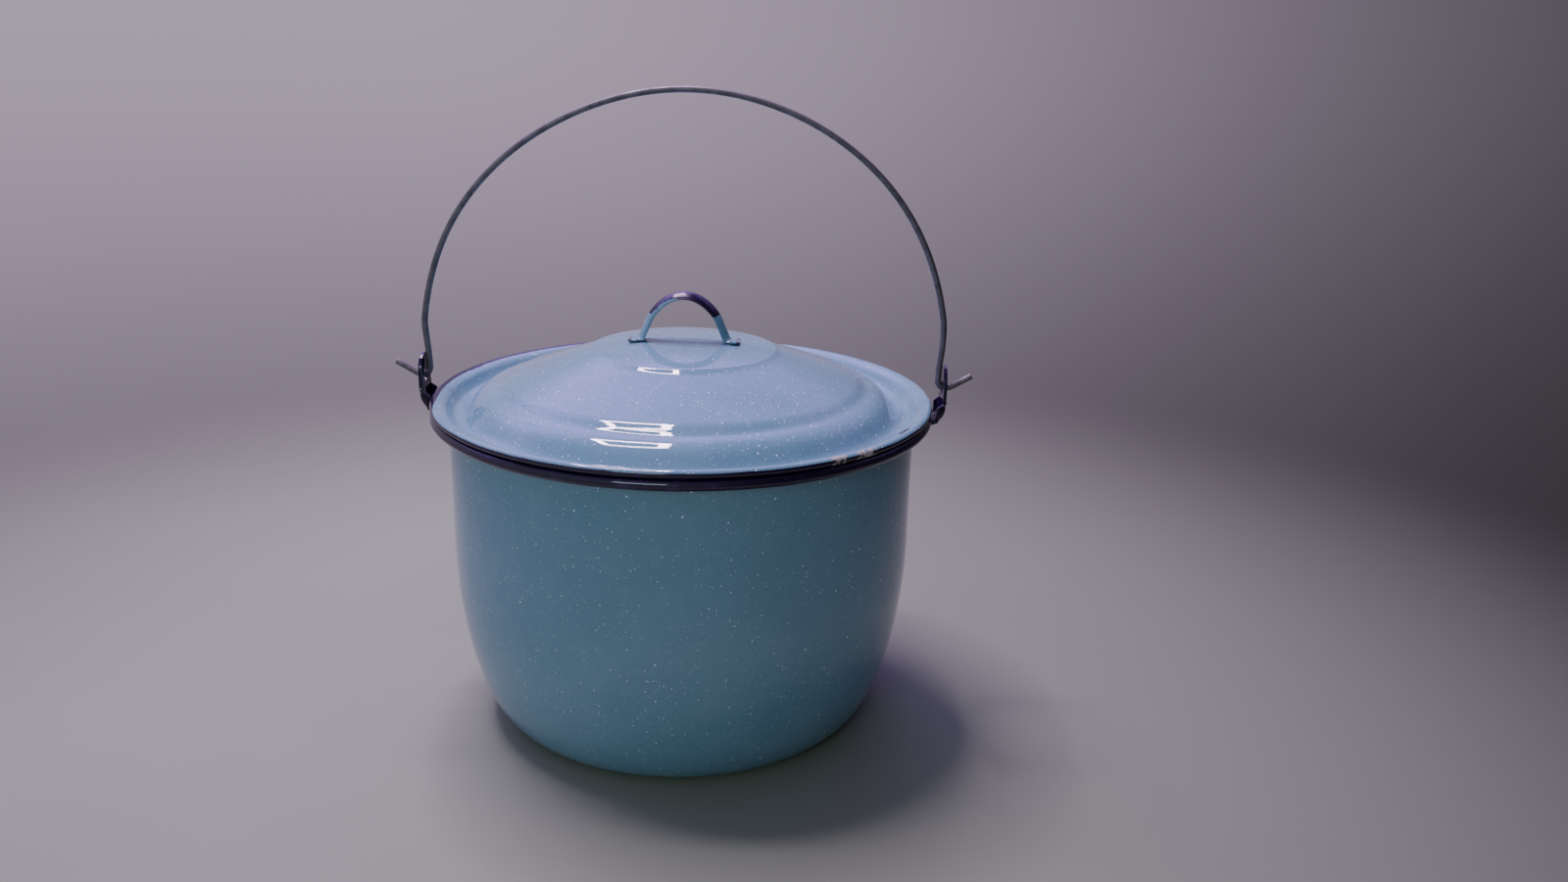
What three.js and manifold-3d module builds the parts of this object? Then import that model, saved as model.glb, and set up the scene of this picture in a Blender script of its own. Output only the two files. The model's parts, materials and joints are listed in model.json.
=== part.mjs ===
// Enamelled steel stock pot with a stepped lid and a swinging wire bail.
// Millimetres, +Z up. The origin is the centre of the flat base, the bail's ears lie on the X axis.
import * as THREE from 'three';
import { mergeVertices } from 'three/addons/utils/BufferGeometryUtils.js';
import Module from 'manifold-3d';

const wasm = await Module();
wasm.setup();

// Driving dimensions
const GAP = 0.3;              // kept between pieces that touch
const SHEET = 1.0;            // steel sheet with its enamel on both faces
const RIM_R = 133;            // outside radius of both rolled rims
const ROUND_STEPS = 40;       // facets around the pot's axis

const BASE_R = 92;            // flat base
const WALL_R = 123.5;         // outside of the straight wall
const BELLY_TOP = 104;        // the belly is a quarter ellipse up to here
const FLARE_START = 162;      // the mouth starts to open outwards here
const FLARE_END = 172.4;
const FLARE_OUT = 5.4;
const POT_BEAD_R = 3.0;       // section radius of the pot's rolled rim
const POT_BEAD_Z = 170.3;

const LID_BEAD_R = 2.1;       // section radius of the lid's rolled rim
const LID_TOP = 206.5;        // crown of the lid's top disc
const DISC_R = 48;            // edge of the top disc
const DISC_DROP = 3.7;        // fall of the disc from its centre to its edge

const STRAP_T = 1.6;          // lid handle: thickness, width and top
const STRAP_W = 11;
const STRAP_TOP = 232.8;
const STRAP_CROWN = 2.6;      // how far the round back stands above the strap's edges
const STRAP_ARCH_R = 21;      // radius of the arch along the middle of the strap
const STRAP_LEAN = 67;        // degrees: turn of the arch to each side, and slope of its straight legs
const STRAP_BEND = 2.0;
const STRAP_HEEL = 24;         // the bends over the feet start here
const STRAP_TOE = 29.6;       // the turned-out flat feet end here

const EAR_T = 1.8;            // bail ear: thickness, width, outer face and top
const EAR_W = 18;
const EAR_X = 140.3;
const EAR_TOP = 196;
const EAR_BEND = 8.4;
const EAR_HOLE_R = 4;
const CHEEK_T = 1.6;          // turned-in sides of the ear
const CHEEK_X = 135.6;
const CHEEK_TOP = 177.2;

const PIVOT_Z = 184.2;        // the bail turns about X at this height
const WIRE_R = 1.65;
const ARCH_R = 138.7;         // centreline radius of the arch
const ARCH_Z = 197;           // height of the arch's centre
const LEG_X = 135.8;          // where the wire turns out of the ear's inside
const LEG_BEND = 3.5;
const LEG_LEAN = 0.5;         // how far the leg leans out by the ear's top
const LEG_KNEE = 8.5;         // the leg meets the arch gently above the ear
const ARCH_START = 7;         // degrees above the arch's centre
const HOOK_X = 141.4;         // the wire starts to turn up here, outside the ear
const HOOK_BEND = 4;
const HOOK_ANGLE = THREE.MathUtils.degToRad(30);
const HOOK_TIP_X = 154;

const potBeadX = RIM_R - POT_BEAD_R;
const lidBeadX = RIM_R - LID_BEAD_R;
const lidBeadZ = POT_BEAD_Z + Math.sqrt((POT_BEAD_R + LID_BEAD_R + GAP) ** 2 - (lidBeadX - potBeadX) ** 2);

// Outline helpers
const point = (x, z) => new THREE.Vector2(x, z);

function arc(cx, cz, rx, rz, from, to, steps) {
  const points = [];
  for (let i = 0; i <= steps; i += 1) {
    const angle = THREE.MathUtils.degToRad(from + (to - from) * i / steps);
    points.push(point(cx + rx * Math.cos(angle), cz + rz * Math.sin(angle)));
  }
  return points;
}

// Moves a line sideways, to the left of its direction for a positive distance.
function offsetLine(points, distance) {
  return points.map((here, i) => {
    const before = points[Math.max(i - 1, 0)];
    const after = points[Math.min(i + 1, points.length - 1)];
    const along = after.clone().sub(before).normalize();
    return point(here.x - along.y * distance, here.y + along.x * distance);
  });
}

// The same line on the other side of the axis, run the other way.
const mirrored = (points) => points.map((p) => point(-p.x, p.y)).reverse();

// A strip of even thickness along a centreline in the XZ plane, centred on Y.
function ribbon(centreline, thickness, width) {
  const outline = [
    ...offsetLine(centreline, thickness / 2),
    ...offsetLine(centreline, -thickness / 2).reverse(),
  ];
  return plate(outline, width);
}

// A flat plate whose outline is in the XZ plane, centred on Y.
function plate(outline, width) {
  const geometry = new THREE.ExtrudeGeometry(new THREE.Shape(outline), {
    depth: width,
    bevelEnabled: false,
    curveSegments: 24,
  });
  return geometry.translate(0, 0, -width / 2).rotateX(Math.PI / 2);
}

function turned(profile) {
  return new THREE.LatheGeometry(profile, ROUND_STEPS).rotateX(Math.PI / 2);
}

// Geometry to a solid for cutting and joining, and back
function toSolid(geometry) {
  const bare = geometry.clone();
  bare.deleteAttribute('normal');
  bare.deleteAttribute('uv');
  const merged = mergeVertices(bare, 1e-4);
  return new wasm.Manifold(new wasm.Mesh({
    numProp: 3,
    vertProperties: new Float32Array(merged.attributes.position.array),
    triVerts: new Uint32Array(merged.index.array),
  }));
}

function toGeometry(solid) {
  const mesh = solid.getMesh();
  const geometry = new THREE.BufferGeometry();
  geometry.setAttribute('position', new THREE.BufferAttribute(mesh.vertProperties, 3));
  geometry.setIndex(new THREE.BufferAttribute(mesh.triVerts, 1));
  geometry.computeVertexNormals();
  return geometry;
}

function piece(name, geometry, material) {
  const mesh = new THREE.Mesh(geometry, material);
  mesh.name = name;
  return mesh;
}

const enamel = (color) => new THREE.MeshStandardMaterial({ color, roughness: 0.15, metalness: 0 });

// Pot: one drawn sheet, flat base, elliptical belly, straight wall, flared mouth, rolled rim
function flareInside(z) {
  const rise = (z - FLARE_START) / (FLARE_END - FLARE_START);
  return WALL_R - SHEET + FLARE_OUT * Math.max(rise, 0) ** 2;
}

function potBody() {
  const flare = [];
  const flareSteps = 5;
  for (let i = 0; i <= flareSteps; i += 1) {
    const z = FLARE_START + (FLARE_END - FLARE_START) * i / flareSteps;
    flare.push(point(flareInside(z), z));
  }
  const flareOutside = offsetLine(flare, -SHEET).filter((p) => p.y < POT_BEAD_Z - 0.2);
  const profile = [
    point(0, 0),
    ...arc(BASE_R, BELLY_TOP, WALL_R - BASE_R, BELLY_TOP, -90, 0, 10),
    ...flareOutside,
    ...arc(potBeadX, POT_BEAD_Z, POT_BEAD_R, POT_BEAD_R, -180, 135, 10),
    ...flare.slice(0, -1).reverse(),
    ...arc(BASE_R, BELLY_TOP, WALL_R - BASE_R - SHEET, BELLY_TOP - SHEET, 0, -90, 10),
    point(0, SHEET),
  ];
  return turned(profile);
}

// Lid: crowned disc, step, sloping dome, second step, shoulder, gutter, flange, rolled rim
const discHeight = (r) => LID_TOP - DISC_DROP * (r / DISC_R) ** 2;

function lidTopFace() {
  const disc = [0, 16, 30, 40, DISC_R].map((r) => point(r, discHeight(r)));
  const step = [point(49.4, 202.35), point(50.6, 201.65), point(52.1, 200.85), point(54, 200.1)];
  const dome = [point(60, 197.95), point(76, 192.2), point(88, 187.9), point(90.5, 187)];
  const secondStep = [
    point(92.5, 186.1), point(94.2, 185.05), point(95.8, 183.95), point(97.4, 183.1), point(99, 182.6),
  ];
  const shoulder = [
    point(101.4, 182), point(103.5, 181.25), point(105.4, 180.3), point(107.4, 178.9),
    point(109.4, 176.9), point(111.4, 174.5), point(113.3, 172.3),
  ];
  const gutter = [
    point(115.2, 170.8), point(117, 170.1), point(118.8, 169.9), point(120.8, 170.4),
    point(122.8, 172.6), point(124.8, 175.4),
  ];
  const flange = [point(127.2, 176.8)];
  return [...disc, ...step, ...dome, ...secondStep, ...shoulder, ...gutter, ...flange];
}

function lid() {
  const top = lidTopFace();
  const flangeEnd = point(lidBeadX, lidBeadZ + LID_BEAD_R);
  const under = offsetLine([...top, flangeEnd], -SHEET).slice(0, -1);
  under[0].x = 0;
  const profile = [
    ...under,
    ...arc(lidBeadX, lidBeadZ, LID_BEAD_R, LID_BEAD_R, -212, 90, 8),
    ...[...top].reverse(),
  ];
  return turned(profile);
}

// Lid handle: a strap bent to an arch, its back pressed round, its ends turned out flat and welded down
function handleSide() {
  const archZ = STRAP_TOP - STRAP_T / 2 - STRAP_ARCH_R;
  const lean = THREE.MathUtils.degToRad(STRAP_LEAN);
  const legX = STRAP_ARCH_R * Math.sin(lean);
  const legZ = archZ + STRAP_ARCH_R * Math.cos(lean);
  const footZ = discHeight(STRAP_HEEL) + GAP + STRAP_T / 2;
  const heelX = legX + (legZ - footZ) / Math.tan(lean);
  const bendX = heelX + STRAP_BEND * Math.tan(lean / 2);
  const bend = arc(bendX, footZ + STRAP_BEND, STRAP_BEND, STRAP_BEND, -90, -90 - STRAP_LEAN, 4);
  const arch = arc(0, archZ, STRAP_ARCH_R, STRAP_ARCH_R, 90 - STRAP_LEAN, 90, 10);
  const leg = [0.25, 0.5, 0.75].map((share) => bend[bend.length - 1].clone().lerp(arch[0], share));
  return { foot: [point(STRAP_TOE, footZ), ...bend], upper: [...leg, ...arch] };
}

// Closed section of the strap: [across, how far outwards] pairs, the back first.
function strapSection(crown) {
  const shares = [-1, -0.75, -0.45, -0.15, 0.15, 0.45, 0.75, 1];
  const face = (out) => shares.map((share) => [share * STRAP_W / 2, out - crown * share ** 2]);
  return [...face(STRAP_T / 2), ...face(-STRAP_T / 2).reverse()];
}

function lidHandle() {
  const { foot, upper } = handleSide();
  const right = [...foot, ...upper];
  const line = [...right, ...mirrored(right.slice(0, -1))];
  const outwards = offsetLine(line, -1).map((p, i) => p.sub(line[i]));
  const positions = [];
  line.forEach((here, i) => {
    const beyondFoot = Math.min(i, line.length - 1 - i) - foot.length + 1;
    const crown = STRAP_CROWN * THREE.MathUtils.smoothstep(beyondFoot, 0, 3);
    for (const [across, out] of strapSection(crown)) {
      positions.push(here.x + outwards[i].x * out, across, here.y + outwards[i].y * out);
    }
  });
  const ring = strapSection(0).length;
  const last = (line.length - 1) * ring;
  const triangles = [];
  for (let k = 0; k < ring; k += 1) {
    const next = (k + 1) % ring;
    for (let start = 0; start < last; start += ring) {
      triangles.push(start + k, start + next, start + ring + next);
      triangles.push(start + k, start + ring + next, start + ring + k);
    }
  }
  for (let k = 1; k < ring - 1; k += 1) {
    triangles.push(0, k + 1, k, last, last + k, last + k + 1);
  }
  const geometry = new THREE.BufferGeometry();
  geometry.setAttribute('position', new THREE.Float32BufferAttribute(positions, 3));
  geometry.setIndex(triangles);
  geometry.computeVertexNormals();
  return geometry;
}

// Bail ear: a J-shaped lug under the rim, with turned-in sides below the pivot hole
function bailEar() {
  const footZ = POT_BEAD_Z - POT_BEAD_R - GAP - EAR_T / 2;
  const middleX = EAR_X - EAR_T / 2;
  const bendX = middleX - EAR_BEND;
  const bendZ = footZ + EAR_BEND;
  const footX = flareInside(footZ + EAR_T / 2) + SHEET * 1.2 + GAP;
  const bend = arc(bendX, bendZ, EAR_BEND, EAR_BEND, -90, 0, 8);
  const spareWidth = 0.8;
  const middleLine = [point(footX, footZ), ...bend, point(middleX, EAR_TOP + 1)];
  const strap = ribbon(middleLine, EAR_T, EAR_W + spareWidth);
  const taper = EAR_X - EAR_T - CHEEK_X;
  const cheekOutline = [
    ...bend,
    point(middleX, CHEEK_TOP),
    point(EAR_X - EAR_T, CHEEK_TOP),
    point(CHEEK_X, CHEEK_TOP - taper),
    point(CHEEK_X, footZ + EAR_T),
  ];
  const cheekY = (EAR_W - CHEEK_T) / 2;
  const cheek = toSolid(plate(cheekOutline, CHEEK_T));
  const half = EAR_W / 2;
  const outline = new THREE.Shape();
  outline.moveTo(-half, 0);
  outline.lineTo(half, 0);
  outline.absarc(0, EAR_TOP - half, half, 0, Math.PI, false);
  outline.closePath();
  const frontView = new THREE.ExtrudeGeometry(outline, {
    depth: EAR_X + 1,
    bevelEnabled: false,
    curveSegments: 16,
  });
  frontView.rotateX(Math.PI / 2).rotateZ(Math.PI / 2);
  const hole = new THREE.CylinderGeometry(EAR_HOLE_R, EAR_HOLE_R, 10, 24).rotateZ(Math.PI / 2);
  hole.translate(EAR_X, 0, PIVOT_Z);
  const ear = toSolid(strap)
    .add(cheek.translate(0, cheekY, 0))
    .add(cheek.translate(0, -cheekY, 0))
    .intersect(toSolid(frontView))
    .subtract(toSolid(hole));
  return toGeometry(ear);
}

// Bail: one wire, both ends led out through the ears and turned up
class WireRoute extends THREE.Curve {
  constructor(points) {
    super();
    this.points = points;
  }

  getPoint(t) {
    const place = t * (this.points.length - 1);
    const index = Math.min(Math.floor(place), this.points.length - 2);
    return this.points[index].clone().lerp(this.points[index + 1], place - index);
  }

  getPointAt(u) {
    return this.getPoint(u);
  }

  getTangentAt(u) {
    const last = this.points.length - 1;
    const index = Math.round(u * last);
    const before = this.points[Math.max(index - 1, 0)];
    const after = this.points[Math.min(index + 1, last)];
    return after.clone().sub(before).normalize();
  }
}

function bailSide() {
  const hookDegrees = THREE.MathUtils.radToDeg(HOOK_ANGLE);
  const hook = arc(HOOK_X, PIVOT_Z + HOOK_BEND, HOOK_BEND, HOOK_BEND, hookDegrees - 90, -90, 3);
  const tip = point(HOOK_TIP_X, hook[0].y + (HOOK_TIP_X - hook[0].x) * Math.tan(HOOK_ANGLE));
  const inner = arc(LEG_X + LEG_BEND, PIVOT_Z + LEG_BEND, LEG_BEND, LEG_BEND, -90, -180, 5);
  const arch = arc(0, ARCH_Z, ARCH_R, ARCH_R, ARCH_START, 90, 22);
  const legTop = point(LEG_X + LEG_LEAN, EAR_TOP);
  const knee = point((legTop.x + arch[0].x) / 2, EAR_TOP + LEG_KNEE);
  return [tip, ...hook, ...inner, legTop, knee, ...arch];
}

function bail() {
  const right = bailSide();
  const left = mirrored(right.slice(0, -1));
  const route = [...right, ...left].map((p) => new THREE.Vector3(p.x, 0, p.y));
  const section = new THREE.Shape();
  section.absarc(0, 0, WIRE_R, 0, 2 * Math.PI, false);
  return new THREE.ExtrudeGeometry(section, {
    steps: route.length - 1,
    curveSegments: 5,
    extrudePath: new WireRoute(route),
  });
}

const turquoise = enamel(0x6a93a6);
const navy = enamel(0x1a1238);
const wire = new THREE.MeshStandardMaterial({ color: 0x4a494c, roughness: 0.5, metalness: 0.9 });

const stockPot = new THREE.Group();
stockPot.add(piece('pot_body', potBody(), turquoise));

const rightEar = piece('right_ear', bailEar(), navy);
const leftEar = piece('left_ear', bailEar(), navy);
leftEar.rotation.z = Math.PI;
stockPot.add(rightEar, leftEar);

stockPot.add(piece('bail', bail(), wire));

const lidGroup = new THREE.Group();
lidGroup.add(piece('lid', lid(), turquoise), piece('lid_handle', lidHandle(), navy));
stockPot.add(lidGroup);

export default stockPot;
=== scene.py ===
"""Looks of the enamelled stock pot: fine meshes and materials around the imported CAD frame.

Metres, +Z up, origin at the centre of the base. Lengths in this file are written in millimetres and
turned into metres by MM.
"""
import json
import math

import bmesh
import bpy
from mathutils import Matrix, Vector, noise


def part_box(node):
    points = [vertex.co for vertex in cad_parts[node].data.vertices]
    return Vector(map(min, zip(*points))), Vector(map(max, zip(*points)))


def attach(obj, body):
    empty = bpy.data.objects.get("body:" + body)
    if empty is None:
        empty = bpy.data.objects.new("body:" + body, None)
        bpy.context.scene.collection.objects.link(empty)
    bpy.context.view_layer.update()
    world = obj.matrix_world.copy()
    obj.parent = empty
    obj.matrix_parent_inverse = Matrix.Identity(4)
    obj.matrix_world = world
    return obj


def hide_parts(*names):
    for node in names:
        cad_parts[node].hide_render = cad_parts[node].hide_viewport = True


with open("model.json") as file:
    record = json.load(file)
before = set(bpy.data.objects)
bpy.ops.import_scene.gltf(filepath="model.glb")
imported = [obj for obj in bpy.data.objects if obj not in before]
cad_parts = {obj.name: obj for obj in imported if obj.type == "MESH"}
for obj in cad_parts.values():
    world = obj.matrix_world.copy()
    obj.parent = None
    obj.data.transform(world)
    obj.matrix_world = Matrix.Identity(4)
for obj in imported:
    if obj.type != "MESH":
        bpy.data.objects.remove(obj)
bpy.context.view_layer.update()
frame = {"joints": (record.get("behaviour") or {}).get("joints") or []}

MM = 0.001
ROUND_STEPS = 288             # columns around the pot's axis


def node_box(node):
    """The node's lowest and highest corner in millimetres."""
    low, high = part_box(node)
    return Vector(low) / MM, Vector(high) / MM


# Sizes that follow from the frame
POT_HIGH = node_box("pot_body")[1]
LID_HIGH = node_box("lid")[1]
STRAP_LOW, STRAP_HIGH = node_box("lid_handle")
EAR_LOW, EAR_HIGH = node_box("right_ear")
BAIL_HIGH = node_box("bail")[1]
PIVOT = Vector(next(j for j in frame["joints"] if j["name"] == "bail_swing")["pos_m"]) / MM

RIM_R = POT_HIGH.x
GAP = 0.3                     # between the two rolled rims
SHEET = 1.0                   # steel sheet with its enamel
BASE_R = 92
WALL_R = 123.5
BELLY_TOP = 104
FLARE_START = 162
FLARE_END = 172.4
FLARE_OUT = 5.4
POT_BEAD_R = 3.0
POT_BEAD_X = RIM_R - POT_BEAD_R
POT_BEAD_Z = POT_HIGH.z - POT_BEAD_R
LID_BEAD_R = 2.1
LID_BEAD_X = RIM_R - LID_BEAD_R
BEADS_APART = POT_BEAD_R + LID_BEAD_R + GAP
LID_BEAD_Z = POT_BEAD_Z + math.sqrt(BEADS_APART**2 - (LID_BEAD_X - POT_BEAD_X) ** 2)
LID_TOP = LID_HIGH.z
DISC_R = 48
DISC_DROP = 3.7
BASE_PANEL_R = 76             # the base is pressed up a little inside this ring
BASE_PANEL_RISE = 0.7


# ---------------------------------------------------------------- curves and meshes
def smooth(edge0, edge1, x):
    """0 below edge0, 1 above edge1, smooth between."""
    t = min(max((x - edge0) / (edge1 - edge0), 0.0), 1.0)
    return t * t * (3 - 2 * t)


def arc(cx, cz, rx, rz, start, end, steps):
    """Points of an elliptical arc, angles in degrees."""
    angles = [math.radians(start + (end - start) * i / steps) for i in range(steps + 1)]
    return [(cx + rx * math.cos(a), cz + rz * math.sin(a)) for a in angles]


def spline(points, steps):
    """Catmull-Rom curve through points, with steps pieces between neighbours."""
    out = []
    last = len(points) - 1
    for i in range(last):
        p0, p1, p2, p3 = (Vector(points[min(max(i + k, 0), last)]) for k in (-1, 0, 1, 2))
        for s in range(steps):
            t = s / steps
            out.append(
                tuple(
                    0.5 * (2 * p1 + (p2 - p0) * t + (2 * p0 - 5 * p1 + 4 * p2 - p3) * t**2
                           + (3 * p1 - p0 - 3 * p2 + p3) * t**3)
                )
            )
    out.append(tuple(points[-1]))
    return out


def offset_line(points, distance):
    """The line moved sideways, to the left of its direction for a positive distance."""
    out = []
    for i, (x, z) in enumerate(points):
        before = points[max(i - 1, 0)]
        after = points[min(i + 1, len(points) - 1)]
        along = Vector((after[0] - before[0], after[1] - before[1])).normalized()
        out.append((x - along.y * distance, z + along.x * distance))
    return out


def new_object(name, vertices, faces, smooth_shading=True):
    """An object of a mesh given in millimetres, with its faces pointing out."""
    mesh = bpy.data.meshes.new(name)
    mesh.from_pydata([tuple(c * MM for c in v) for v in vertices], [], faces)
    bm = bmesh.new()
    bm.from_mesh(mesh)
    bmesh.ops.recalc_face_normals(bm, faces=bm.faces)
    bm.to_mesh(mesh)
    bm.free()
    obj = bpy.data.objects.new(name, mesh)
    bpy.context.collection.objects.link(obj)
    if smooth_shading:
        mesh.shade_smooth()
    return obj


def lathe(name, profile, warp):
    """Turns a closed profile that starts and ends on the axis. warp moves each point a little."""
    vertices = []
    rings = []
    for r, z in profile:
        if r < 1e-6:
            rings.append([len(vertices)])
            vertices.append((0, 0, z))
            continue
        ring = []
        for i in range(ROUND_STEPS):
            phi = 2 * math.pi * i / ROUND_STEPS
            wr, wz = warp(r, z, phi)
            ring.append(len(vertices))
            vertices.append((wr * math.cos(phi), wr * math.sin(phi), wz))
        rings.append(ring)
    faces = []
    for lower, upper in zip(rings, rings[1:]):
        for i in range(ROUND_STEPS):
            j = (i + 1) % ROUND_STEPS
            if len(lower) == 1:
                faces.append((lower[0], upper[i], upper[j]))
            elif len(upper) == 1:
                faces.append((lower[i], lower[j], upper[0]))
            else:
                faces.append((lower[i], lower[j], upper[j], upper[i]))
    return new_object(name, vertices, faces)


def sweep(name, route, section, normal):
    """Sweeps a closed section along a route in a plane with that normal, with flat caps.

    section(i) gives the outline at route point i as (sideways, along normal) pairs."""
    vertices = []
    faces = []
    count = len(section(0))
    last = len(route) - 1
    for i, here in enumerate(route):
        along = (route[min(i + 1, last)] - route[max(i - 1, 0)]).normalized()
        side = normal.cross(along)
        for a, b in section(i):
            vertices.append(here + side * a + normal * b)
    for i in range(last):
        for k in range(count):
            m = (k + 1) % count
            faces.append((i * count + k, i * count + m, (i + 1) * count + m, (i + 1) * count + k))
    faces.append(tuple(range(count)))
    faces.append(tuple(last * count + k for k in range(count)))
    return new_object(name, vertices, faces)


def apply_modifiers(obj):
    """Replaces the object's mesh with the result of its modifiers."""
    depsgraph = bpy.context.evaluated_depsgraph_get()
    mesh = bpy.data.meshes.new_from_object(obj.evaluated_get(depsgraph))
    obj.modifiers.clear()
    obj.data = mesh
    mesh.shade_smooth()


def hand_made(r, z, phi, seed, amount):
    """A slow, small unevenness of pressed sheet, in millimetres."""
    place = Vector((math.cos(phi), math.sin(phi), 0)) * r / 45 + Vector((0, 0, z / 45 + seed))
    return amount * noise.noise(place)


def bead_warp(r, z, phi, bead_x, bead_z, bead_r, seed):
    """The rolled rim is a little thicker and thinner on its way round."""
    dx, dz = r - bead_x, z - bead_z
    near = smooth(bead_r + 1.2, bead_r - 0.2, math.hypot(dx, dz))
    around = Vector((math.cos(phi), math.sin(phi), 0))
    swell = 0.10 * noise.noise(around * 7 + Vector((0, 0, seed))) - 0.06
    swell += 0.05 * noise.noise(around * 26 + Vector((0, 0, seed + 3)))
    return dx / bead_r * swell * near, dz / bead_r * swell * near


# ---------------------------------------------------------------- pot
def flare_inside(z):
    rise = max((z - FLARE_START) / (FLARE_END - FLARE_START), 0)
    return WALL_R - SHEET + FLARE_OUT * rise**2


def pot_profile():
    flare_heights = [FLARE_START + (FLARE_END - FLARE_START) * i / 14 for i in range(15)]
    flare = [(flare_inside(z), z) for z in flare_heights]
    flare_out = [p for p in offset_line(flare, -SHEET) if p[1] < POT_BEAD_Z - 0.3]
    wall_steps = [BELLY_TOP + (FLARE_START - BELLY_TOP) * i / 8 for i in range(1, 8)]
    panel = [
        (0, BASE_PANEL_RISE), (24, BASE_PANEL_RISE), (48, BASE_PANEL_RISE), (66, BASE_PANEL_RISE),
        (BASE_PANEL_R - 3, BASE_PANEL_RISE * 0.93), (BASE_PANEL_R, BASE_PANEL_RISE * 0.5),
        (BASE_PANEL_R + 3, BASE_PANEL_RISE * 0.07), (BASE_PANEL_R + 5, 0), (BASE_R - 4, 0),
    ]
    raised = SHEET + BASE_PANEL_RISE
    inside_floor = [(BASE_R - 4, SHEET), (60, SHEET + 0.2), (30, raised), (0, raised)]
    return [
        *panel,
        *arc(BASE_R, BELLY_TOP, WALL_R - BASE_R, BELLY_TOP, -90, 0, 44),
        *[(WALL_R, z) for z in wall_steps],
        *flare_out,
        *arc(POT_BEAD_X, POT_BEAD_Z, POT_BEAD_R, POT_BEAD_R, -182, 135, 34),
        *flare[:-1][::-1],
        *[(WALL_R - SHEET, z) for z in wall_steps[::-1]],
        *arc(BASE_R, BELLY_TOP, WALL_R - BASE_R - SHEET, BELLY_TOP - SHEET, 0, -90, 30),
        *inside_floor,
    ]


def pot_warp(r, z, phi):
    loose = smooth(4, 40, z)
    dr = hand_made(r, z, phi, 5, 0.35) * loose
    dr += 0.18 * loose * math.cos(2 * phi + 0.6)
    bx, bz = bead_warp(r, z, phi, POT_BEAD_X, POT_BEAD_Z, POT_BEAD_R, 1)
    return r + dr + bx, z + bz


# ---------------------------------------------------------------- lid
def disc_height(r):
    return LID_TOP - DISC_DROP * (r / DISC_R) ** 2


def lid_top_face():
    disc = [(r, disc_height(r)) for r in (0, 10, 20, 30, 40, DISC_R)]
    step = [(49.4, 202.35), (50.6, 201.65), (52.1, 200.85), (54, 200.1)]
    dome = [(60, 197.95), (76, 192.2), (88, 187.9), (90.5, 187)]
    second_step = [(92.5, 186.1), (94.2, 185.05), (95.8, 183.95), (97.4, 183.1), (99, 182.6)]
    shoulder = [
        (101.4, 182), (103.5, 181.25), (105.4, 180.3), (107.4, 178.9), (109.4, 176.9),
        (111.4, 174.5), (113.3, 172.3),
    ]
    gutter = [(115.2, 170.8), (117, 170.1), (118.8, 169.9), (120.8, 170.4), (122.8, 172.6), (124.8, 175.4)]
    flange = [(127.2, 176.8), (129.2, LID_BEAD_Z + LID_BEAD_R - 0.3), (LID_BEAD_X, LID_BEAD_Z + LID_BEAD_R)]
    return spline([*disc, *step, *dome, *second_step, *shoulder, *gutter, *flange], 5)


def lid_profile():
    top = lid_top_face()
    under = [p for p in offset_line(top, -SHEET) if p[0] < LID_BEAD_X - LID_BEAD_R + 0.1]
    under[0] = (0, under[0][1])
    return [
        *under,
        *arc(LID_BEAD_X, LID_BEAD_Z, LID_BEAD_R, LID_BEAD_R, -205, 88, 30),
        *top[:-1][::-1],
    ]


def lid_warp(r, z, phi):
    dz = hand_made(r, z, phi, 11, 0.3) * smooth(20, 60, r)
    dz *= smooth(RIM_R, RIM_R - 12, r)
    bx, bz = bead_warp(r, z, phi, LID_BEAD_X, LID_BEAD_Z, LID_BEAD_R, 2)
    return r + bx, z + dz + bz


# ---------------------------------------------------------------- bail
WIRE_R = 1.65
ARCH_R = 138.7
ARCH_Z = BAIL_HIGH.z - WIRE_R - ARCH_R
LEG_X = 136.2
LEG_BEND = 3.5
HOOK_X = 141.4
HOOK_BEND = 4.0
HOOK_ANGLE = math.radians(30)
HOOK_TIP_X = 154.0


def arch_bulge(degrees):
    """How far the hand-bent arch strays from a circle, outwards, at an angle from +X."""
    right_shoulder = 1.5 * math.exp(-(((degrees - 38) / 24) ** 2))
    left_flat = -1.3 * math.exp(-(((degrees - 115) / 20) ** 2))
    left_shoulder = 0.5 * math.exp(-(((degrees - 152) / 12) ** 2))
    return right_shoulder + left_flat + left_shoulder


def bail_side():
    """Half of the wire from a hook's tip up to its leg, as (x, z) for the right side."""
    hook_degrees = math.degrees(HOOK_ANGLE)
    hook = arc(HOOK_X, PIVOT.z + HOOK_BEND, HOOK_BEND, HOOK_BEND, hook_degrees - 90, -90, 8)
    rise = math.tan(HOOK_ANGLE)
    tip = (HOOK_TIP_X, hook[0][1] + (HOOK_TIP_X - hook[0][0]) * rise)
    straight = [(tip[0] + (hook[0][0] - tip[0]) * t, tip[1] + (hook[0][1] - tip[1]) * t)
                for t in (0, 0.02, 0.05, 0.3, 0.6)]
    inner = arc(LEG_X + LEG_BEND, PIVOT.z + LEG_BEND, LEG_BEND, LEG_BEND, -90, -180, 12)
    return [*straight, *hook, *inner]


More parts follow.
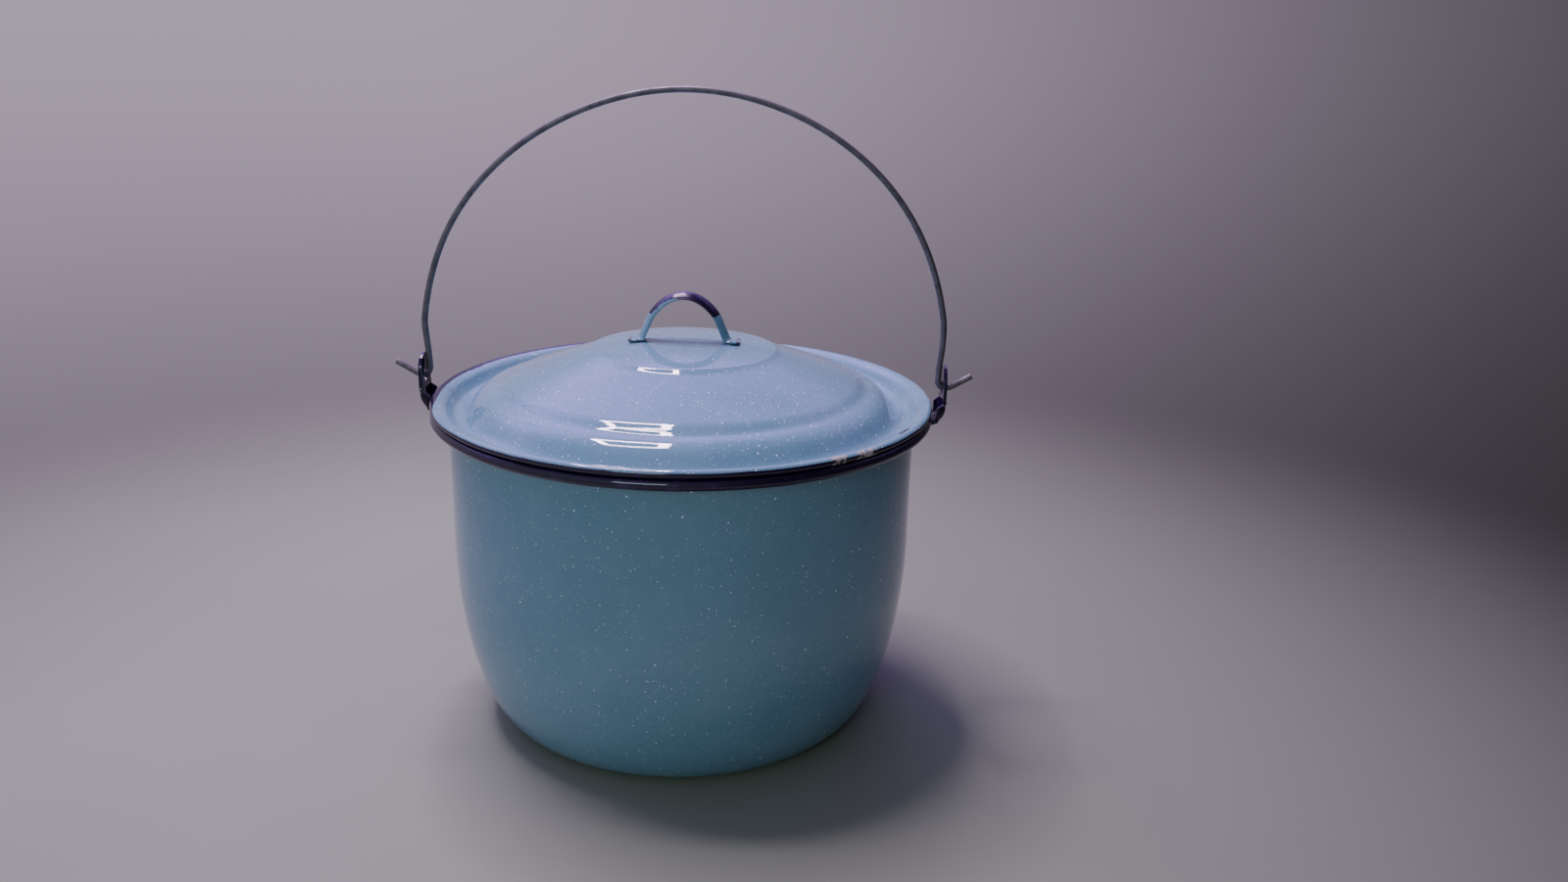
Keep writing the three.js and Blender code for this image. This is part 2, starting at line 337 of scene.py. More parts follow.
def bail_route():
    side = bail_side()
    ear_top = EAR_HIGH.z
    arch = []
    for degrees in range(9, 174, 4):
        a = math.radians(degrees)
        r = ARCH_R + arch_bulge(degrees)
        arch.append((r * math.cos(a), ARCH_Z + r * math.sin(a)))
    leg_top = (LEG_X + 0.3, ear_top)
    knee = (LEG_X + 1.25, ear_top + 11)
    free = spline(
        [side[-1], leg_top, knee, *arch, (-knee[0], knee[1]), (-leg_top[0], leg_top[1]),
         (-side[-1][0], side[-1][1])],
        4,
    )
    flat = [*side[:-1], *free, *[(-x, z) for x, z in side[:-1][::-1]]]
    route = []
    for x, z in flat:
        sway = 0.35 * math.sin(x / 31 + 0.8) * smooth(PIVOT.z + 10, PIVOT.z + 60, z)
        route.append(Vector((x, sway, z)))
    return route


def make_bail():
    route = bail_route()
    last = len(route) - 1
    sides = 24

    def section(i):
        end = min(i, last - i)
        r = WIRE_R * (0.8, 0.95, 1.0)[min(end, 2)]
        r *= 1 + 0.012 * noise.noise(route[i] * 0.09)
        angles = [2 * math.pi * k / sides for k in range(sides)]
        return [(r * math.cos(a), r * math.sin(a)) for a in angles]

    return sweep("bail_wire", route, section, Vector((0, 1, 0)))


# ---------------------------------------------------------------- ears
EAR_T = 1.7
EAR_X = EAR_HIGH.x            # outer face
EAR_HALF = EAR_HIGH.y
EAR_BEND = 8.4
EAR_HOLE_R = 4.0
CHEEK_DEPTH = 3.9
CHEEK_CORNER = 2.0
CHEEK_FADE = (178.2, 174.0)   # heights between which the turned-in sides reach their full depth
EAR_INSET = 0.9               # middle of the lug's sheet below its outer faces in the frame


def ear_rows():
    """Middle line of the lug, as [(x, z, inward x, inward z, half width, cheek depth)]."""
    foot_z = EAR_LOW.z + EAR_INSET
    mid_x = EAR_X - EAR_INSET
    bend_x = mid_x - EAR_BEND
    bend_z = foot_z + EAR_BEND
    foot_x = EAR_LOW.x + 0.1
    rows = [(foot_x + (bend_x - foot_x) * t, foot_z, 0, 1, EAR_HALF, 0) for t in (0, 0.3, 0.6, 0.9)]
    for i in range(1, 15):
        a = math.radians(90 * i / 14)
        depth = max(0.0, EAR_BEND - (EAR_BEND - CHEEK_DEPTH) / math.sin(a))
        rows.append((bend_x + EAR_BEND * math.sin(a), bend_z - EAR_BEND * math.cos(a),
                     -math.sin(a), math.cos(a), EAR_HALF, depth))
    round_z = EAR_HIGH.z - EAR_HALF
    steps = 14
    for i in range(1, steps):
        z = bend_z + (round_z - bend_z) * i / steps
        depth = CHEEK_DEPTH * smooth(*CHEEK_FADE, z)
        rows.append((mid_x, z, -1, 0, EAR_HALF, depth))
    for i in range(13):
        a = math.radians(88 * i / 12)
        rows.append((mid_x, round_z + EAR_HALF * math.sin(a), -1, 0, EAR_HALF * math.cos(a), 0))
    return rows


def ear_section(half, depth):
    """Across the lug: [(y, how far inward)], flat in the middle and turned in at the sides."""
    corner = min(CHEEK_CORNER, depth)
    flat = half - corner
    right = [(flat * k / 6, 0.0) for k in range(7)]
    for k in range(1, 5):
        a = math.radians(90 * k / 4)
        right.append((flat + corner * math.sin(a), corner * (1 - math.cos(a))))
    for k in range(1, 4):
        right.append((half, corner + (depth - corner) * k / 3))
    left = [(-y, inward) for y, inward in right[:0:-1]]
    return [*left, *right]


def make_ear(name, side):
    vertices = []
    faces = []
    rows = ear_rows()
    for x, z, nx, nz, half, depth in rows:
        for y, inward in ear_section(half, depth):
            vertices.append(((x + nx * inward) * side, y * side, z + nz * inward))
    count = len(vertices) // len(rows)
    for i in range(len(rows) - 1):
        for k in range(count - 1):
            a = i * count + k
            faces.append((a, a + 1, a + count + 1, a + count))
    obj = new_object(name, vertices, faces)
    bm = bmesh.new()
    bm.from_mesh(obj.data)
    bmesh.ops.remove_doubles(bm, verts=bm.verts, dist=0.02 * MM)
    bmesh.ops.dissolve_degenerate(bm, edges=bm.edges, dist=0.01 * MM)
    bmesh.ops.recalc_face_normals(bm, faces=bm.faces)
    bm.to_mesh(obj.data)
    bm.free()
    thick = obj.modifiers.new("thickness", "SOLIDIFY")
    thick.thickness = EAR_T * MM
    thick.offset = 0
    thick.use_even_offset = True
    cutter = hole_cutter(side)
    hole = obj.modifiers.new("hole", "BOOLEAN")
    hole.operation = "DIFFERENCE"
    hole.solver = "EXACT"
    hole.object = cutter
    edge = obj.modifiers.new("edge", "BEVEL")
    edge.width = 0.5 * MM
    edge.segments = 3
    edge.limit_method = "ANGLE"
    edge.angle_limit = math.radians(50)
    apply_modifiers(obj)
    bpy.data.objects.remove(cutter)
    obj.data.set_sharp_from_angle(angle=math.radians(40))
    return obj


def hole_cutter(side):
    sides = 40
    ring = [(math.cos(2 * math.pi * k / sides) * EAR_HOLE_R, math.sin(2 * math.pi * k / sides) * EAR_HOLE_R)
            for k in range(sides)]
    vertices = [(side * x, y, PIVOT.z + z) for x in (EAR_X - 6, EAR_X + 4) for y, z in ring]
    faces = [(k, (k + 1) % sides, sides + (k + 1) % sides, sides + k) for k in range(sides)]
    faces += [tuple(range(sides)), tuple(range(sides, 2 * sides))]
    return new_object("hole_cutter", vertices, faces)


# ---------------------------------------------------------------- lid handle
STRAP_T = 1.6
STRAP_W = STRAP_HIGH.y - STRAP_LOW.y
STRAP_CROWN = 2.6             # the back stands this far above the strap's edges
STRAP_ARCH_R = 21.0
STRAP_ARCH_Z = STRAP_HIGH.z - STRAP_T / 2 - STRAP_ARCH_R
STRAP_LEAN = 67
STRAP_BEND = 2.0


def strap_route():
    """Middle line of the strap: [(x, z)] from the right toe to the left one."""
    lean = math.radians(STRAP_LEAN)
    arch = []
    for i in range(57):
        a = math.radians(90 - STRAP_LEAN + 2 * STRAP_LEAN * i / 56)
        r = STRAP_ARCH_R - 0.7 * math.sin(2 * a) ** 2
        arch.append((r * math.cos(a), STRAP_ARCH_Z + r * math.sin(a)))
    leg_x, leg_z = arch[0]
    foot_z = STRAP_LOW.z + STRAP_T / 2
    heel_x = leg_x + (leg_z - foot_z) / math.tan(lean)
    bend_x = heel_x + STRAP_BEND * math.tan(lean / 2)
    toe = STRAP_HIGH.x
    foot = [(toe + (bend_x - toe) * t, foot_z) for t in (0, 0.04, 0.12, 0.4, 0.7)]
    foot += arc(bend_x, foot_z + STRAP_BEND, STRAP_BEND, STRAP_BEND, -90, -90 - STRAP_LEAN, 9)
    heel = foot[-1]
    leg = [(heel[0] + (leg_x - heel[0]) * k / 9, heel[1] + (leg_z - heel[1]) * k / 9) for k in range(1, 9)]
    other_side = [(-x, z) for x, z in [*leg[::-1], *foot[::-1]]]
    return [Vector((x, 0, z)) for x, z in [*foot, *leg, *arch, *other_side]]


def strap_section(half_width, half_thick, crown):
    """A bar with round edges, its middle raised by crown above its edges."""
    flat = half_width - half_thick
    points = [(half_thick, -flat + 2 * flat * k / 10) for k in range(11)]
    points += [(half_thick * math.cos(a), flat + half_thick * math.sin(a))
               for a in (math.radians(30 * k) for k in range(1, 6))]
    points += [(-half_thick, flat - 2 * flat * k / 10) for k in range(11)]
    points += [(-half_thick * math.cos(a), -flat - half_thick * math.sin(a))
               for a in (math.radians(30 * k) for k in range(1, 6))]
    return [(a - crown * (b / half_width) ** 2, b) for a, b in points]


def make_strap():
    route = strap_route()
    last = len(route) - 1

    def section(i):
        end = min(i, last - i)
        pressed = smooth(10, 15, end)
        toe = (0.62, 0.86, 0.97, 1.0)[min(end, 3)]
        half_width = STRAP_W / 2 * (1.06 - 0.06 * pressed) * toe
        half_thick = STRAP_T / 2 * (0.86 + 0.14 * pressed) * (0.55, 0.85, 1.0)[min(end, 2)]
        return strap_section(half_width, half_thick, STRAP_CROWN * pressed)

    return sweep("lid_strap", route, section, Vector((0, 1, 0)))


# ---------------------------------------------------------------- materials
class Paint:
    """A Principled material with short calls for the nodes that feed it."""

    def __init__(self, name):
        self.material = bpy.data.materials.new(name)
        self.material.use_nodes = True
        self.tree = self.material.node_tree
        self.shader = self.tree.nodes["Principled BSDF"]
        self.place = self.node("ShaderNodeTexCoord").outputs["Object"]
        split = self.node("ShaderNodeSeparateXYZ", Vector=self.place)
        self.x, self.y, self.z = split.outputs

    def node(self, kind, settings=None, **inputs):
        made = self.tree.nodes.new(kind)
        for key, value in (settings or {}).items():
            setattr(made, key, value)
        for key, value in inputs.items():
            self.feed(made.inputs[key.replace("_", " ")], value)
        return made

    def feed(self, socket, value):
        if isinstance(value, bpy.types.NodeSocket):
            self.tree.links.new(value, socket)
        else:
            socket.default_value = value

    def math(self, operation, a, b=0.0):
        made = self.node("ShaderNodeMath", {"operation": operation})
        self.feed(made.inputs[0], a)
        self.feed(made.inputs[1], b)
        return made.outputs[0]

    def noise(self, scale, detail=2.0, roughness=0.5, seed=0.0, vector=None):
        """Noise around 0.5, with scale in features per metre."""
        made = self.node("ShaderNodeTexNoise", {"noise_dimensions": "4D"}, Scale=scale, Detail=detail,
                         Roughness=roughness, W=seed, Vector=vector or self.place)
        return made.outputs["Fac"]

    def stretched(self, x, y, z):
        """Object coordinates scaled per axis, for brushed or wiped marks."""
        made = self.node("ShaderNodeMapping", Vector=self.place)
        made.inputs["Scale"].default_value = (x, y, z)
        return made.outputs["Vector"]

    def steps(self, value, low, high, to_low=0.0, to_high=1.0):
        """Smooth change from to_low to to_high as value goes from low to high."""
        made = self.node("ShaderNodeMapRange", {"interpolation_type": "SMOOTHSTEP"}, Value=value)
        made.inputs["From Min"].default_value = low
        made.inputs["From Max"].default_value = high
        made.inputs["To Min"].default_value = to_low
        made.inputs["To Max"].default_value = to_high
        return made.outputs["Result"]

    def mix(self, amount, a, b):
        made = self.node("ShaderNodeMix", {"data_type": "RGBA"})
        self.feed(made.inputs[0], amount)
        self.feed(made.inputs[6], (*a, 1) if isinstance(a, tuple) else a)
        self.feed(made.inputs[7], (*b, 1) if isinstance(b, tuple) else b)
        return made.outputs[2]

    def blend(self, amount, a, b):
        """Number mix."""
        made = self.node("ShaderNodeMix", {"data_type": "FLOAT"})
        self.feed(made.inputs[0], amount)
        self.feed(made.inputs[2], a)
        self.feed(made.inputs[3], b)
        return made.outputs[0]

    def specks(self, cell_mm, radius_mm, seed, share=0.6):
        """Round specks: 1 inside a speck. share is the part of the cells that may hold one."""
        place = self.node("ShaderNodeVectorMath", {"operation": "ADD"})
        self.feed(place.inputs[0], self.place)
        place.inputs[1].default_value = (seed * 1.7, seed * 0.9, seed * 2.3)
        cells = self.node("ShaderNodeTexVoronoi", {"feature": "F1"}, Scale=1 / (cell_mm * MM),
                          Vector=place.outputs[0])
        kind = self.node("ShaderNodeSeparateColor", Color=cells.outputs["Color"])
        size = self.steps(kind.outputs[0], 1 - share, 1.0, 0.0, radius_mm / cell_mm)
        gap = self.math("SUBTRACT", size, cells.outputs["Distance"])
        return self.steps(gap, 0.0, 0.12 * radius_mm / cell_mm + 0.01)

    def length(self, a, b):
        """Length of the vector (a, b)."""
        squares = self.math("ADD", self.math("MULTIPLY", a, a), self.math("MULTIPLY", b, b))
        return self.math("SQRT", squares)

    def ring_distance(self, ring_r, ring_z):
        """Distance in metres from a circle round the axis."""
        dr = self.math("SUBTRACT", self.length(self.x, self.y), ring_r * MM)
        dz = self.math("SUBTRACT", self.z, ring_z * MM)
        return self.length(dr, dz)

    def spot(self, x, y, half_length, half_width, degrees):
        """1 inside an ellipse seen from above, with a ragged edge, in millimetres."""
        a = math.radians(degrees)
        dx = self.math("SUBTRACT", self.x, x * MM)
        dy = self.math("SUBTRACT", self.y, y * MM)
        cos, sin = math.cos(a), math.sin(a)
        u = self.math("ADD", self.math("MULTIPLY", dx, cos), self.math("MULTIPLY", dy, sin))
        v = self.math("SUBTRACT", self.math("MULTIPLY", dy, cos), self.math("MULTIPLY", dx, sin))
        far = self.length(self.math("DIVIDE", u, half_length * MM), self.math("DIVIDE", v, half_width * MM))
        ragged = self.math("ADD", far, self.math("MULTIPLY", self.noise(900, 2, 0.6, 4.0), 0.9))
        return self.steps(ragged, 1.45, 1.25)

    def bump(self, height, strength, distance_mm, normal=None):
        made = self.node("ShaderNodeBump", Height=height, Strength=strength, Distance=distance_mm * MM)
        if normal:
            self.feed(made.inputs["Normal"], normal)
        return made.outputs["Normal"]

    def finish(self, color, roughness, normal, metallic=0.0):
        self.feed(self.shader.inputs["Base Color"], color)
        self.feed(self.shader.inputs["Roughness"], roughness)
        self.feed(self.shader.inputs["Normal"], normal)
        self.feed(self.shader.inputs["Metallic"], metallic)
        return self.material


TURQUOISE = (0.155, 0.302, 0.375)
TURQUOISE_DEEP = (0.130, 0.274, 0.347)
TURQUOISE_PALE = (0.210, 0.352, 0.430)
SPECK = (0.78, 0.88, 0.92)
NAVY = (0.010, 0.003, 0.027)
NAVY_THIN = (0.060, 0.020, 0.130)
# dull navy of the worn arch top, made paler partly as a painted sheen
WORN_SHEEN_NAVY = (0.095, 0.068, 0.120)
BARE_STEEL = (0.050, 0.036, 0.028)
CHIP_EDGE = (0.20, 0.19, 0.19)
# pale cream of the patches on the lid's bead
CREAM = (0.46, 0.42, 0.36)


def turquoise_color(paint, share):
    """Speckled turquoise: slow mottling, fine dust, small and larger white specks."""
    slow = paint.steps(paint.noise(17, 3, 0.55, 1.0), 0.35, 0.68)
    color = paint.mix(slow, TURQUOISE_DEEP, TURQUOISE)
    cloudy = paint.steps(paint.noise(140, 4, 0.65, 2.0), 0.48, 0.80, 0.0, 0.35)
    color = paint.mix(cloudy, color, TURQUOISE_PALE)
    for cell_mm, radius_mm, seed, strength in (
        (0.8, 0.17, 3, 0.5), (1.3, 0.26, 5, 0.75), (2.1, 0.36, 8, 0.95), (4.2, 0.54, 13, 1.0),
    ):
        speck = paint.math("MULTIPLY", paint.specks(cell_mm, radius_mm, seed, share), strength)
        color = paint.mix(speck, color, SPECK)
    return color


def enamel_normal(paint):
    """Glass melted on sheet: slow waves and a faint orange peel."""
    waves = paint.bump(paint.noise(28, 2, 0.4, 6.0), 0.15, 0.25)
    return paint.bump(paint.noise(330, 2, 0.5, 7.0), 0.03, 0.05, waves)


def enamel_roughness(paint, polish):
    """Glossy, duller where hands and water left a film."""
    film = paint.steps(paint.noise(22, 4, 0.6, 9.0), 0.45, 0.75, 0.0, 0.05)
    wiped = paint.steps(paint.noise(1.0, 3, 0.6, 3.0, paint.stretched(40, 40, 900)), 0.5, 0.8, 0.0, 0.02)
    return paint.math("ADD", paint.math("ADD", film, wiped), polish)


def navy_color(paint):
    """Navy enamel, violet where it is thin."""
    thin = paint.steps(paint.noise(120, 3, 0.6, 12.0), 0.50, 0.78, 0.0, 0.8)
    return paint.mix(thin, NAVY, NAVY_THIN)


def chips(paint, near, scale, low, high):
    """Small chips inside a mask, from low up with a pale broken edge, from high up bare: (edge, bare)."""
    pattern = paint.math("MULTIPLY", paint.noise(scale, 3, 0.65, 15.0), near)
    return paint.steps(pattern, low, low + 0.01), paint.steps(pattern, high, high + 0.01)


def two_enamels(name, navy, chip_mask, speck_share=0.36, wear_and_sheen=0.0, cream_patches=0.0):
    """Turquoise, with navy inside the navy area and chips where chip_mask lets them through.

    The navy is dulled and made paler where wear_and_sheen is 1 (wear, with the paler colour partly a painted
    sheen), and a pale cream shows where cream_patches is 1."""
    paint = navy.paint
    dark = paint.mix(wear_and_sheen, navy_color(paint), WORN_SHEEN_NAVY)
    color = paint.mix(navy.mask, turquoise_color(paint, speck_share), dark)
    color = paint.mix(cream_patches, color, CREAM)
    edge, bare = chips(paint, chip_mask, 420, 0.60, 0.63)
    color = paint.mix(edge, color, CHIP_EDGE)
    color = paint.mix(bare, color, BARE_STEEL)
    roughness = paint.blend(wear_and_sheen, enamel_roughness(paint, 0.035), 0.42)
    roughness = paint.blend(bare, roughness, 0.6)
    step = paint.math("SUBTRACT", paint.math("MULTIPLY", navy.mask, 0.35), edge)
    normal = paint.bump(step, 0.5, 0.12, enamel_normal(paint))
    paint.shader.inputs["IOR"].default_value = 1.58
    paint.material.name = name
    return paint.finish(color, roughness, normal)


class Navy:
    """A navy area on a turquoise piece."""

    def __init__(self, paint, mask):
        self.paint = paint
        self.mask = mask


def rim_navy(paint, ring_r, ring_z, reach_mm, ragged_mm, drips_mm, left_mm=0.0):
    """Navy within reach of a rolled rim, with a hand-dipped edge, a few drips and more at the back left."""
    distance = paint.ring_distance(ring_r, ring_z)
    uneven = paint.math("SUBTRACT", paint.noise(75, 3, 0.6, 21.0), 0.5)
    edge = paint.math("MULTIPLY", uneven, 2 * ragged_mm * MM)
    drip = paint.steps(paint.noise(55, 1, 0.4, 23.0), 0.66, 0.74, 0.0, drips_mm * MM)
    back = paint.math("MULTIPLY", paint.y, 0.75)
    back_left = paint.math("SUBTRACT", back, paint.math("MULTIPLY", paint.x, 0.66))
    dipped = paint.steps(back_left, 0.025, 0.075, reach_mm * MM, (reach_mm + left_mm) * MM)
    reach = paint.math("ADD", paint.math("ADD", edge, drip), dipped)
    return paint.steps(paint.math("SUBTRACT", reach, distance), -0.00006, 0.00010)


def pot_enamel():
    paint = Paint("pot_enamel")
    mask = rim_navy(paint, POT_BEAD_X, POT_BEAD_Z, reach_mm=POT_BEAD_R + 2.0, ragged_mm=0.5, drips_mm=1.8)
    base_scuff = paint.steps(paint.z, 0.0016, 0.0002, 0.0, 0.95)
    return two_enamels("pot_enamel", Navy(paint, mask), base_scuff)


def lid_enamel():
    paint = Paint("lid_enamel")
    mask = rim_navy(paint, RIM_R, LID_BEAD_Z - 2, reach_mm=2.9, ragged_mm=0.4, drips_mm=0.4, left_mm=2.7)
    smudge = paint.spot(113.5, -60.5, 7.0, 1.0, 62)
    pit = paint.spot(124.2, -16.5, 1.3, 1.0, 0)
    mask = paint.math("MAXIMUM", paint.math("MAXIMUM", mask, smudge), pit)
    on_bead = paint.steps(paint.ring_distance(LID_BEAD_X, LID_BEAD_Z), 0.0026, 0.0018)
    rim_wear = paint.math("MULTIPLY", on_bead, 0.93)
    # pale cream patches on the lid's bead at the front right
    long_patch = paint.spot(93.0, -93.5, 7.0, 1.6, 45)
    short_patch = paint.spot(79.5, -105.3, 5.0, 1.3, 37)
    cream_spots = paint.math("MAXIMUM", long_patch, short_patch)
    cream_mask = paint.math("MULTIPLY", cream_spots, paint.steps(paint.noise(260, 3, 0.6, 27.0), 0.42, 0.50))
    return two_enamels("lid_enamel", Navy(paint, mask), rim_wear, speck_share=0.8, cream_patches=cream_mask)


def strap_enamel():
    """Turquoise legs and a navy arch: its right half all through, its left half only on the back."""
    paint = Paint("strap_enamel")
    ragged = paint.math("MULTIPLY", paint.math("SUBTRACT", paint.noise(180, 3, 0.6, 31.0), 0.5), 0.005)
    height = paint.math("ADD", paint.z, ragged)
    navy_from = (STRAP_HIGH.z - 12.4) * MM
    dipped = paint.steps(height, navy_from, navy_from + 0.0003)
    rise = paint.math("SUBTRACT", paint.z, STRAP_ARCH_Z * MM)
    depth = paint.math("SUBTRACT", (STRAP_ARCH_R + STRAP_T / 2) * MM, paint.length(paint.x, rise))
    reach = paint.steps(paint.x, -0.006, 0.004, 0.0023, 0.0070)
    reach = paint.math("ADD", reach, paint.math("MULTIPLY", ragged, 0.5))
    back = paint.steps(paint.math("SUBTRACT", reach, depth), -0.0001, 0.0002)
    navy = Navy(paint, paint.math("MULTIPLY", dipped, back))
    toes = paint.steps(paint.math("ABSOLUTE", paint.x), 0.0262, 0.0282, 0.0, 1.0)
    # near the arch's top: navy worn dull, its paler colour partly a painted highlight
    from_top = paint.math("ABSOLUTE", paint.math("ADD", paint.x, 0.0015))
    near_top = paint.steps(from_top, 0.0085, 0.0010, 0.0, 0.9)
    patchy = paint.steps(paint.noise(260, 3, 0.6, 33.0), 0.30, 0.62, 0.35, 1.0)
    worn_and_sheen = paint.math("MULTIPLY", near_top, patchy)
    return two_enamels("strap_enamel", navy, paint.math("MULTIPLY", toes, 1.25), wear_and_sheen=worn_and_sheen)


def ear_enamel():
    paint = Paint("ear_enamel")
    reach = paint.length(paint.y, paint.math("SUBTRACT", paint.z, PIVOT.z * MM))
    near_hole = paint.steps(reach, 0.0072, 0.0042)
    top = paint.steps(paint.z, (EAR_HIGH.z - 1.2) * MM, EAR_HIGH.z * MM)
    edge, bare = chips(paint, paint.math("MAXIMUM", near_hole, top), 600, 0.60, 0.63)
    color = paint.mix(edge, navy_color(paint), CHIP_EDGE)
    color = paint.mix(bare, color, BARE_STEEL)
    roughness = paint.blend(bare, enamel_roughness(paint, 0.08), 0.55)
    return paint.finish(color, roughness, paint.bump(edge, -0.5, 0.1, enamel_normal(paint)))


def wire_steel():
    """Bare drawn wire, dulled by handling, with faint rust near the hooks."""
    paint = Paint("wire_steel")
    grime = paint.steps(paint.noise(160, 4, 0.65, 41.0), 0.35, 0.7)
    color = paint.mix(grime, (0.175, 0.162, 0.172), (0.105, 0.096, 0.106))
    low = paint.steps(paint.z, (PIVOT.z + 26) * MM, (PIVOT.z + 2) * MM)
    rust = paint.math("MULTIPLY", paint.steps(paint.noise(420, 4, 0.7, 43.0), 0.52, 0.68), low)
    color = paint.mix(paint.math("MULTIPLY", rust, 0.45), color, (0.085, 0.050, 0.032))
    roughness = paint.blend(grime, 0.42, 0.58)
    drawn = paint.noise(1.0, 3, 0.6, 44.0, paint.stretched(2600, 2600, 500))
    normal = paint.bump(drawn, 0.25, 0.03, paint.bump(paint.noise(500, 2, 0.5, 45.0), 0.2, 0.05))
    metallic = paint.math("SUBTRACT", 0.55, paint.math("MULTIPLY", rust, 0.4))
    return paint.finish(color, roughness, normal, metallic)


# ---------------------------------------------------------------- the pieces
def place(obj, body, node, slot_name, material):
    obj.data.materials.clear()
    obj.data.materials.append(material)
    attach(obj, body)
    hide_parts(node)


def build_object():
    place(lathe("pot_shell", pot_profile(), pot_warp), "pot", "pot_body", "turquoise_enamel", pot_enamel())
    place(lathe("lid_shell", lid_profile(), lid_warp), "lid", "lid", "turquoise_enamel", lid_enamel())
    place(make_strap(), "lid", "lid_handle", "navy_enamel", strap_enamel())
    ears = ear_enamel()
    place(make_ear("right_bail_ear", 1), "pot", "right_ear", "navy_enamel", ears)
    place(make_ear("left_bail_ear", -1), "pot", "left_ear", "navy_enamel", ears)
    place(make_bail(), "bail", "bail", "steel_wire", wire_steel())


# ---------------------------------------------------------------- floor, light and camera
TUBE_COLOR = (1.03, 0.78, 1.08)
SURROUND_LEFT = (0.46, 0.38, 0.50)
SURROUND_RIGHT = (0.045, 0.042, 0.047)
SURROUND_FRONT = (0.42, 0.47, 0.56)
SURROUND_TOP = (0.30, 0.23, 0.50)
SURROUND_BAND = (1.70, 1.05, 3.40)


def make_floor():
    """A sheet, greenish to offset the lilac light, with painted shade that makes it darker to the right where
    less light would fall. It fades into the surround, so no horizon shows.
    """
    half = 3000
    floor = new_object("floor", [(-half, -half, 0), (half, -half, 0), (half, half, 0), (-half, half, 0)],
                       [(0, 1, 2, 3)], smooth_shading=False)
    paint = Paint("floor_paper")
    tone = paint.steps(paint.noise(6, 3, 0.5, 51.0), 0.3, 0.7)
    color = paint.mix(tone, (0.212, 0.254, 0.172), (0.224, 0.267, 0.183))
    # painted shade: darker towards the right, standing in for light that falls off
    shade = paint.steps(paint.x, -0.10, 0.50, 0.0, 1.0)
    color = paint.mix(shade, color, (0.146, 0.172, 0.112))
    far = paint.length(paint.x, paint.y)
    paint.feed(paint.shader.inputs["Alpha"], paint.steps(far, 0.80, 0.26))
    grain = paint.bump(paint.noise(900, 2, 0.5, 52.0), 0.1, 0.1)
    floor.data.materials.append(paint.finish(color, 0.75, grain))


def area_light(name, location, target, width, height, power, color):
    data = bpy.data.lights.new(name, "AREA")
    data.shape = "RECTANGLE"
    data.size = width
    data.size_y = height
    data.energy = power
    data.color = color
    light = bpy.data.objects.new(name, data)
    bpy.context.collection.objects.link(light)
    light.location = location
    light.rotation_euler = (Vector(target) - Vector(location)).to_track_quat("-Z", "Y").to_euler()
    return light


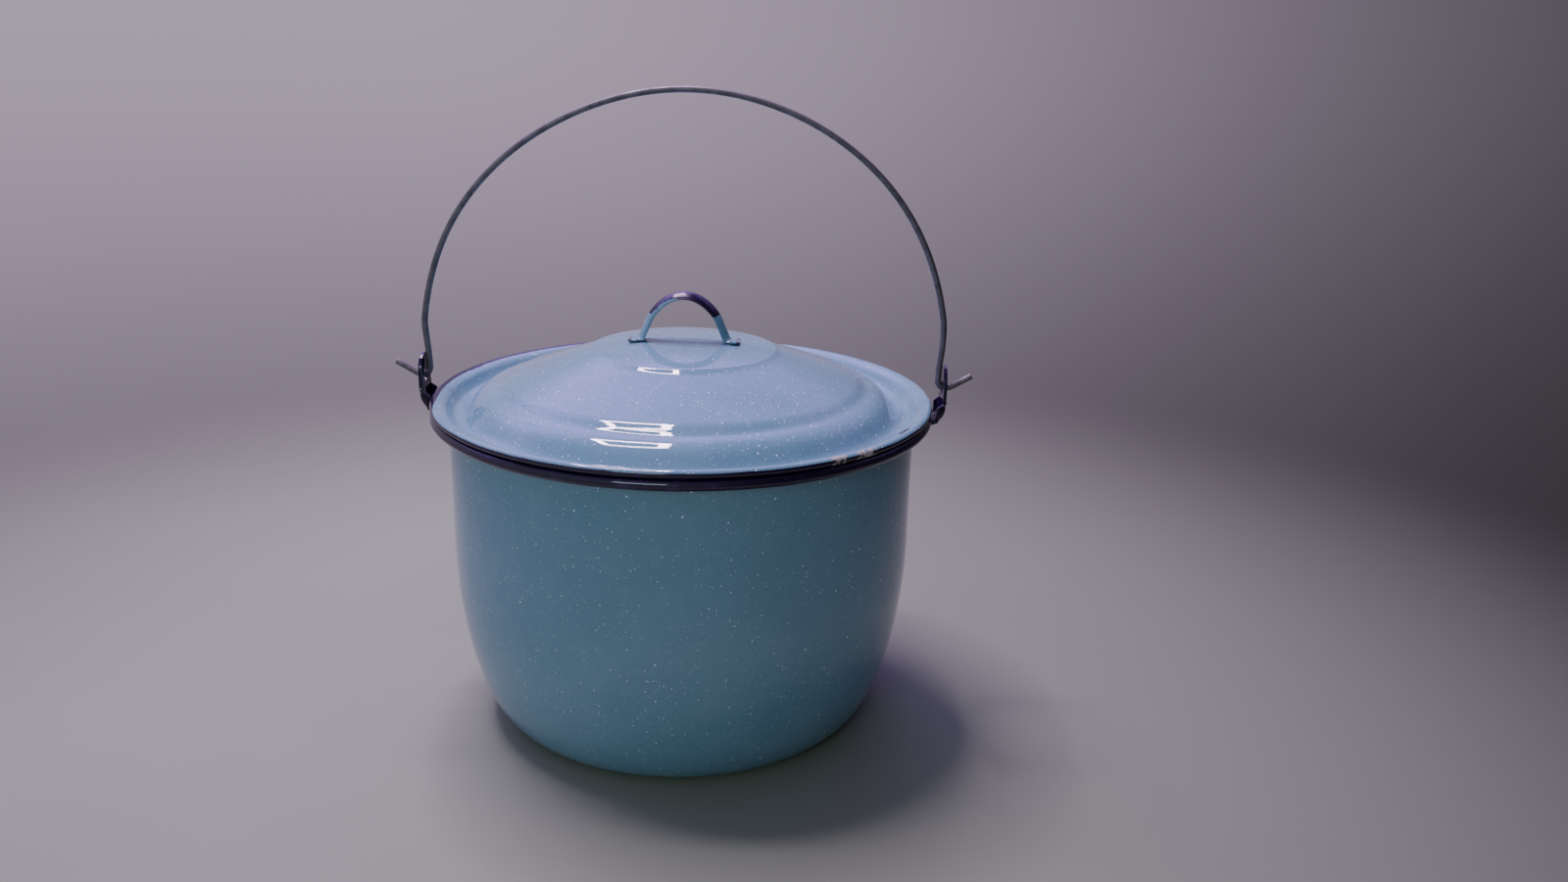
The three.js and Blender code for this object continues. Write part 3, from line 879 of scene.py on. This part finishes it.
def make_surround():
    """Soft light from all round: dimmer to the right, with a bright lilac band high up behind."""
    world = bpy.data.worlds.new("soft_surround")
    world.use_nodes = True
    tree = world.node_tree
    split = tree.nodes.new("ShaderNodeSeparateXYZ")
    tree.links.new(tree.nodes.new("ShaderNodeTexCoord").outputs["Generated"], split.inputs[0])
    right, back, up = split.outputs

    def ramp(value, low, high, to_low=0.0, to_high=1.0):
        made = tree.nodes.new("ShaderNodeMapRange")
        made.interpolation_type = "SMOOTHSTEP"
        tree.links.new(value, made.inputs["Value"])
        for name, number in (("From Min", low), ("From Max", high), ("To Min", to_low), ("To Max", to_high)):
            made.inputs[name].default_value = number
        return made.outputs["Result"]

    def times(a, b):
        made = tree.nodes.new("ShaderNodeMath")
        made.operation = "MULTIPLY"
        tree.links.new(a, made.inputs[0])
        tree.links.new(b, made.inputs[1])
        return made.outputs[0]

    band = times(times(ramp(up, 0.34, 0.62), ramp(up, 0.93, 0.78)), ramp(back, -0.10, 0.55))
    band = times(band, ramp(right, 0.35, -0.15, 0.25, 1.0))
    background = tree.nodes["Background"]
    color = None
    for share, tint in (
        (None, SURROUND_LEFT), (ramp(back, 0.35, -0.75), SURROUND_FRONT), (ramp(up, 0.0, 0.85), SURROUND_TOP),
        (ramp(right, -0.30, 0.75), SURROUND_RIGHT), (band, SURROUND_BAND),
    ):
        mix = tree.nodes.new("ShaderNodeMix")
        mix.data_type = "RGBA"
        mix.inputs[0].default_value = 1.0
        mix.inputs[7].default_value = (*tint, 1)
        if share:
            tree.links.new(share, mix.inputs[0])
            tree.links.new(color, mix.inputs[6])
        color = mix.outputs[2]
    tree.links.new(color, background.inputs["Color"])
    tree.links.new(ramp(up, -0.32, 0.02, 0.48, 1.0), background.inputs["Strength"])
    bpy.context.scene.world = world


def make_lights():
    """A frame of tubes overhead, behind and to the left, and a soft fill from the front."""
    centre = Vector((-0.47, 0.42, 2.05))
    across = 0.30
    along = 0.36
    for name, dx, dy, width, height in (
        ("tube_left", -across, 0, 0.09, 2 * along), ("tube_right", across, 0, 0.09, 2 * along),
        ("tube_front", 0, -along, 2 * across, 0.16), ("tube_back", 0, along, 2 * across, 0.16),
    ):
        spot = centre + Vector((dx, dy, 0))
        area_light(name, spot, spot - Vector((0, 0, 1)), width, height, 15, TUBE_COLOR)
    area_light("front_fill", (-0.6, -2.2, 1.1), (0, 0, 0.1), 0.9, 0.6, 8.0, (0.80, 0.98, 1.0))


def make_camera():
    """A hand-held view from a little above the rim, with a slight roll."""
    data = bpy.data.cameras.new("camera")
    data.sensor_width = 36
    data.lens = 29.72
    camera = bpy.data.objects.new("camera", data)
    bpy.context.collection.objects.link(camera)
    where = Matrix.Translation((0.0512, -0.6734, 0.3622))
    turn = Matrix.Rotation(math.radians(-0.28), 4, "Z")
    pitch = Matrix.Rotation(math.radians(90 - 17.37), 4, "X")
    roll = Matrix.Rotation(math.radians(1.62), 4, "Z")
    camera.matrix_world = where @ turn @ pitch @ roll
    bpy.context.scene.camera = camera


make_camera()
build_object()
make_floor()
make_surround()
make_lights()
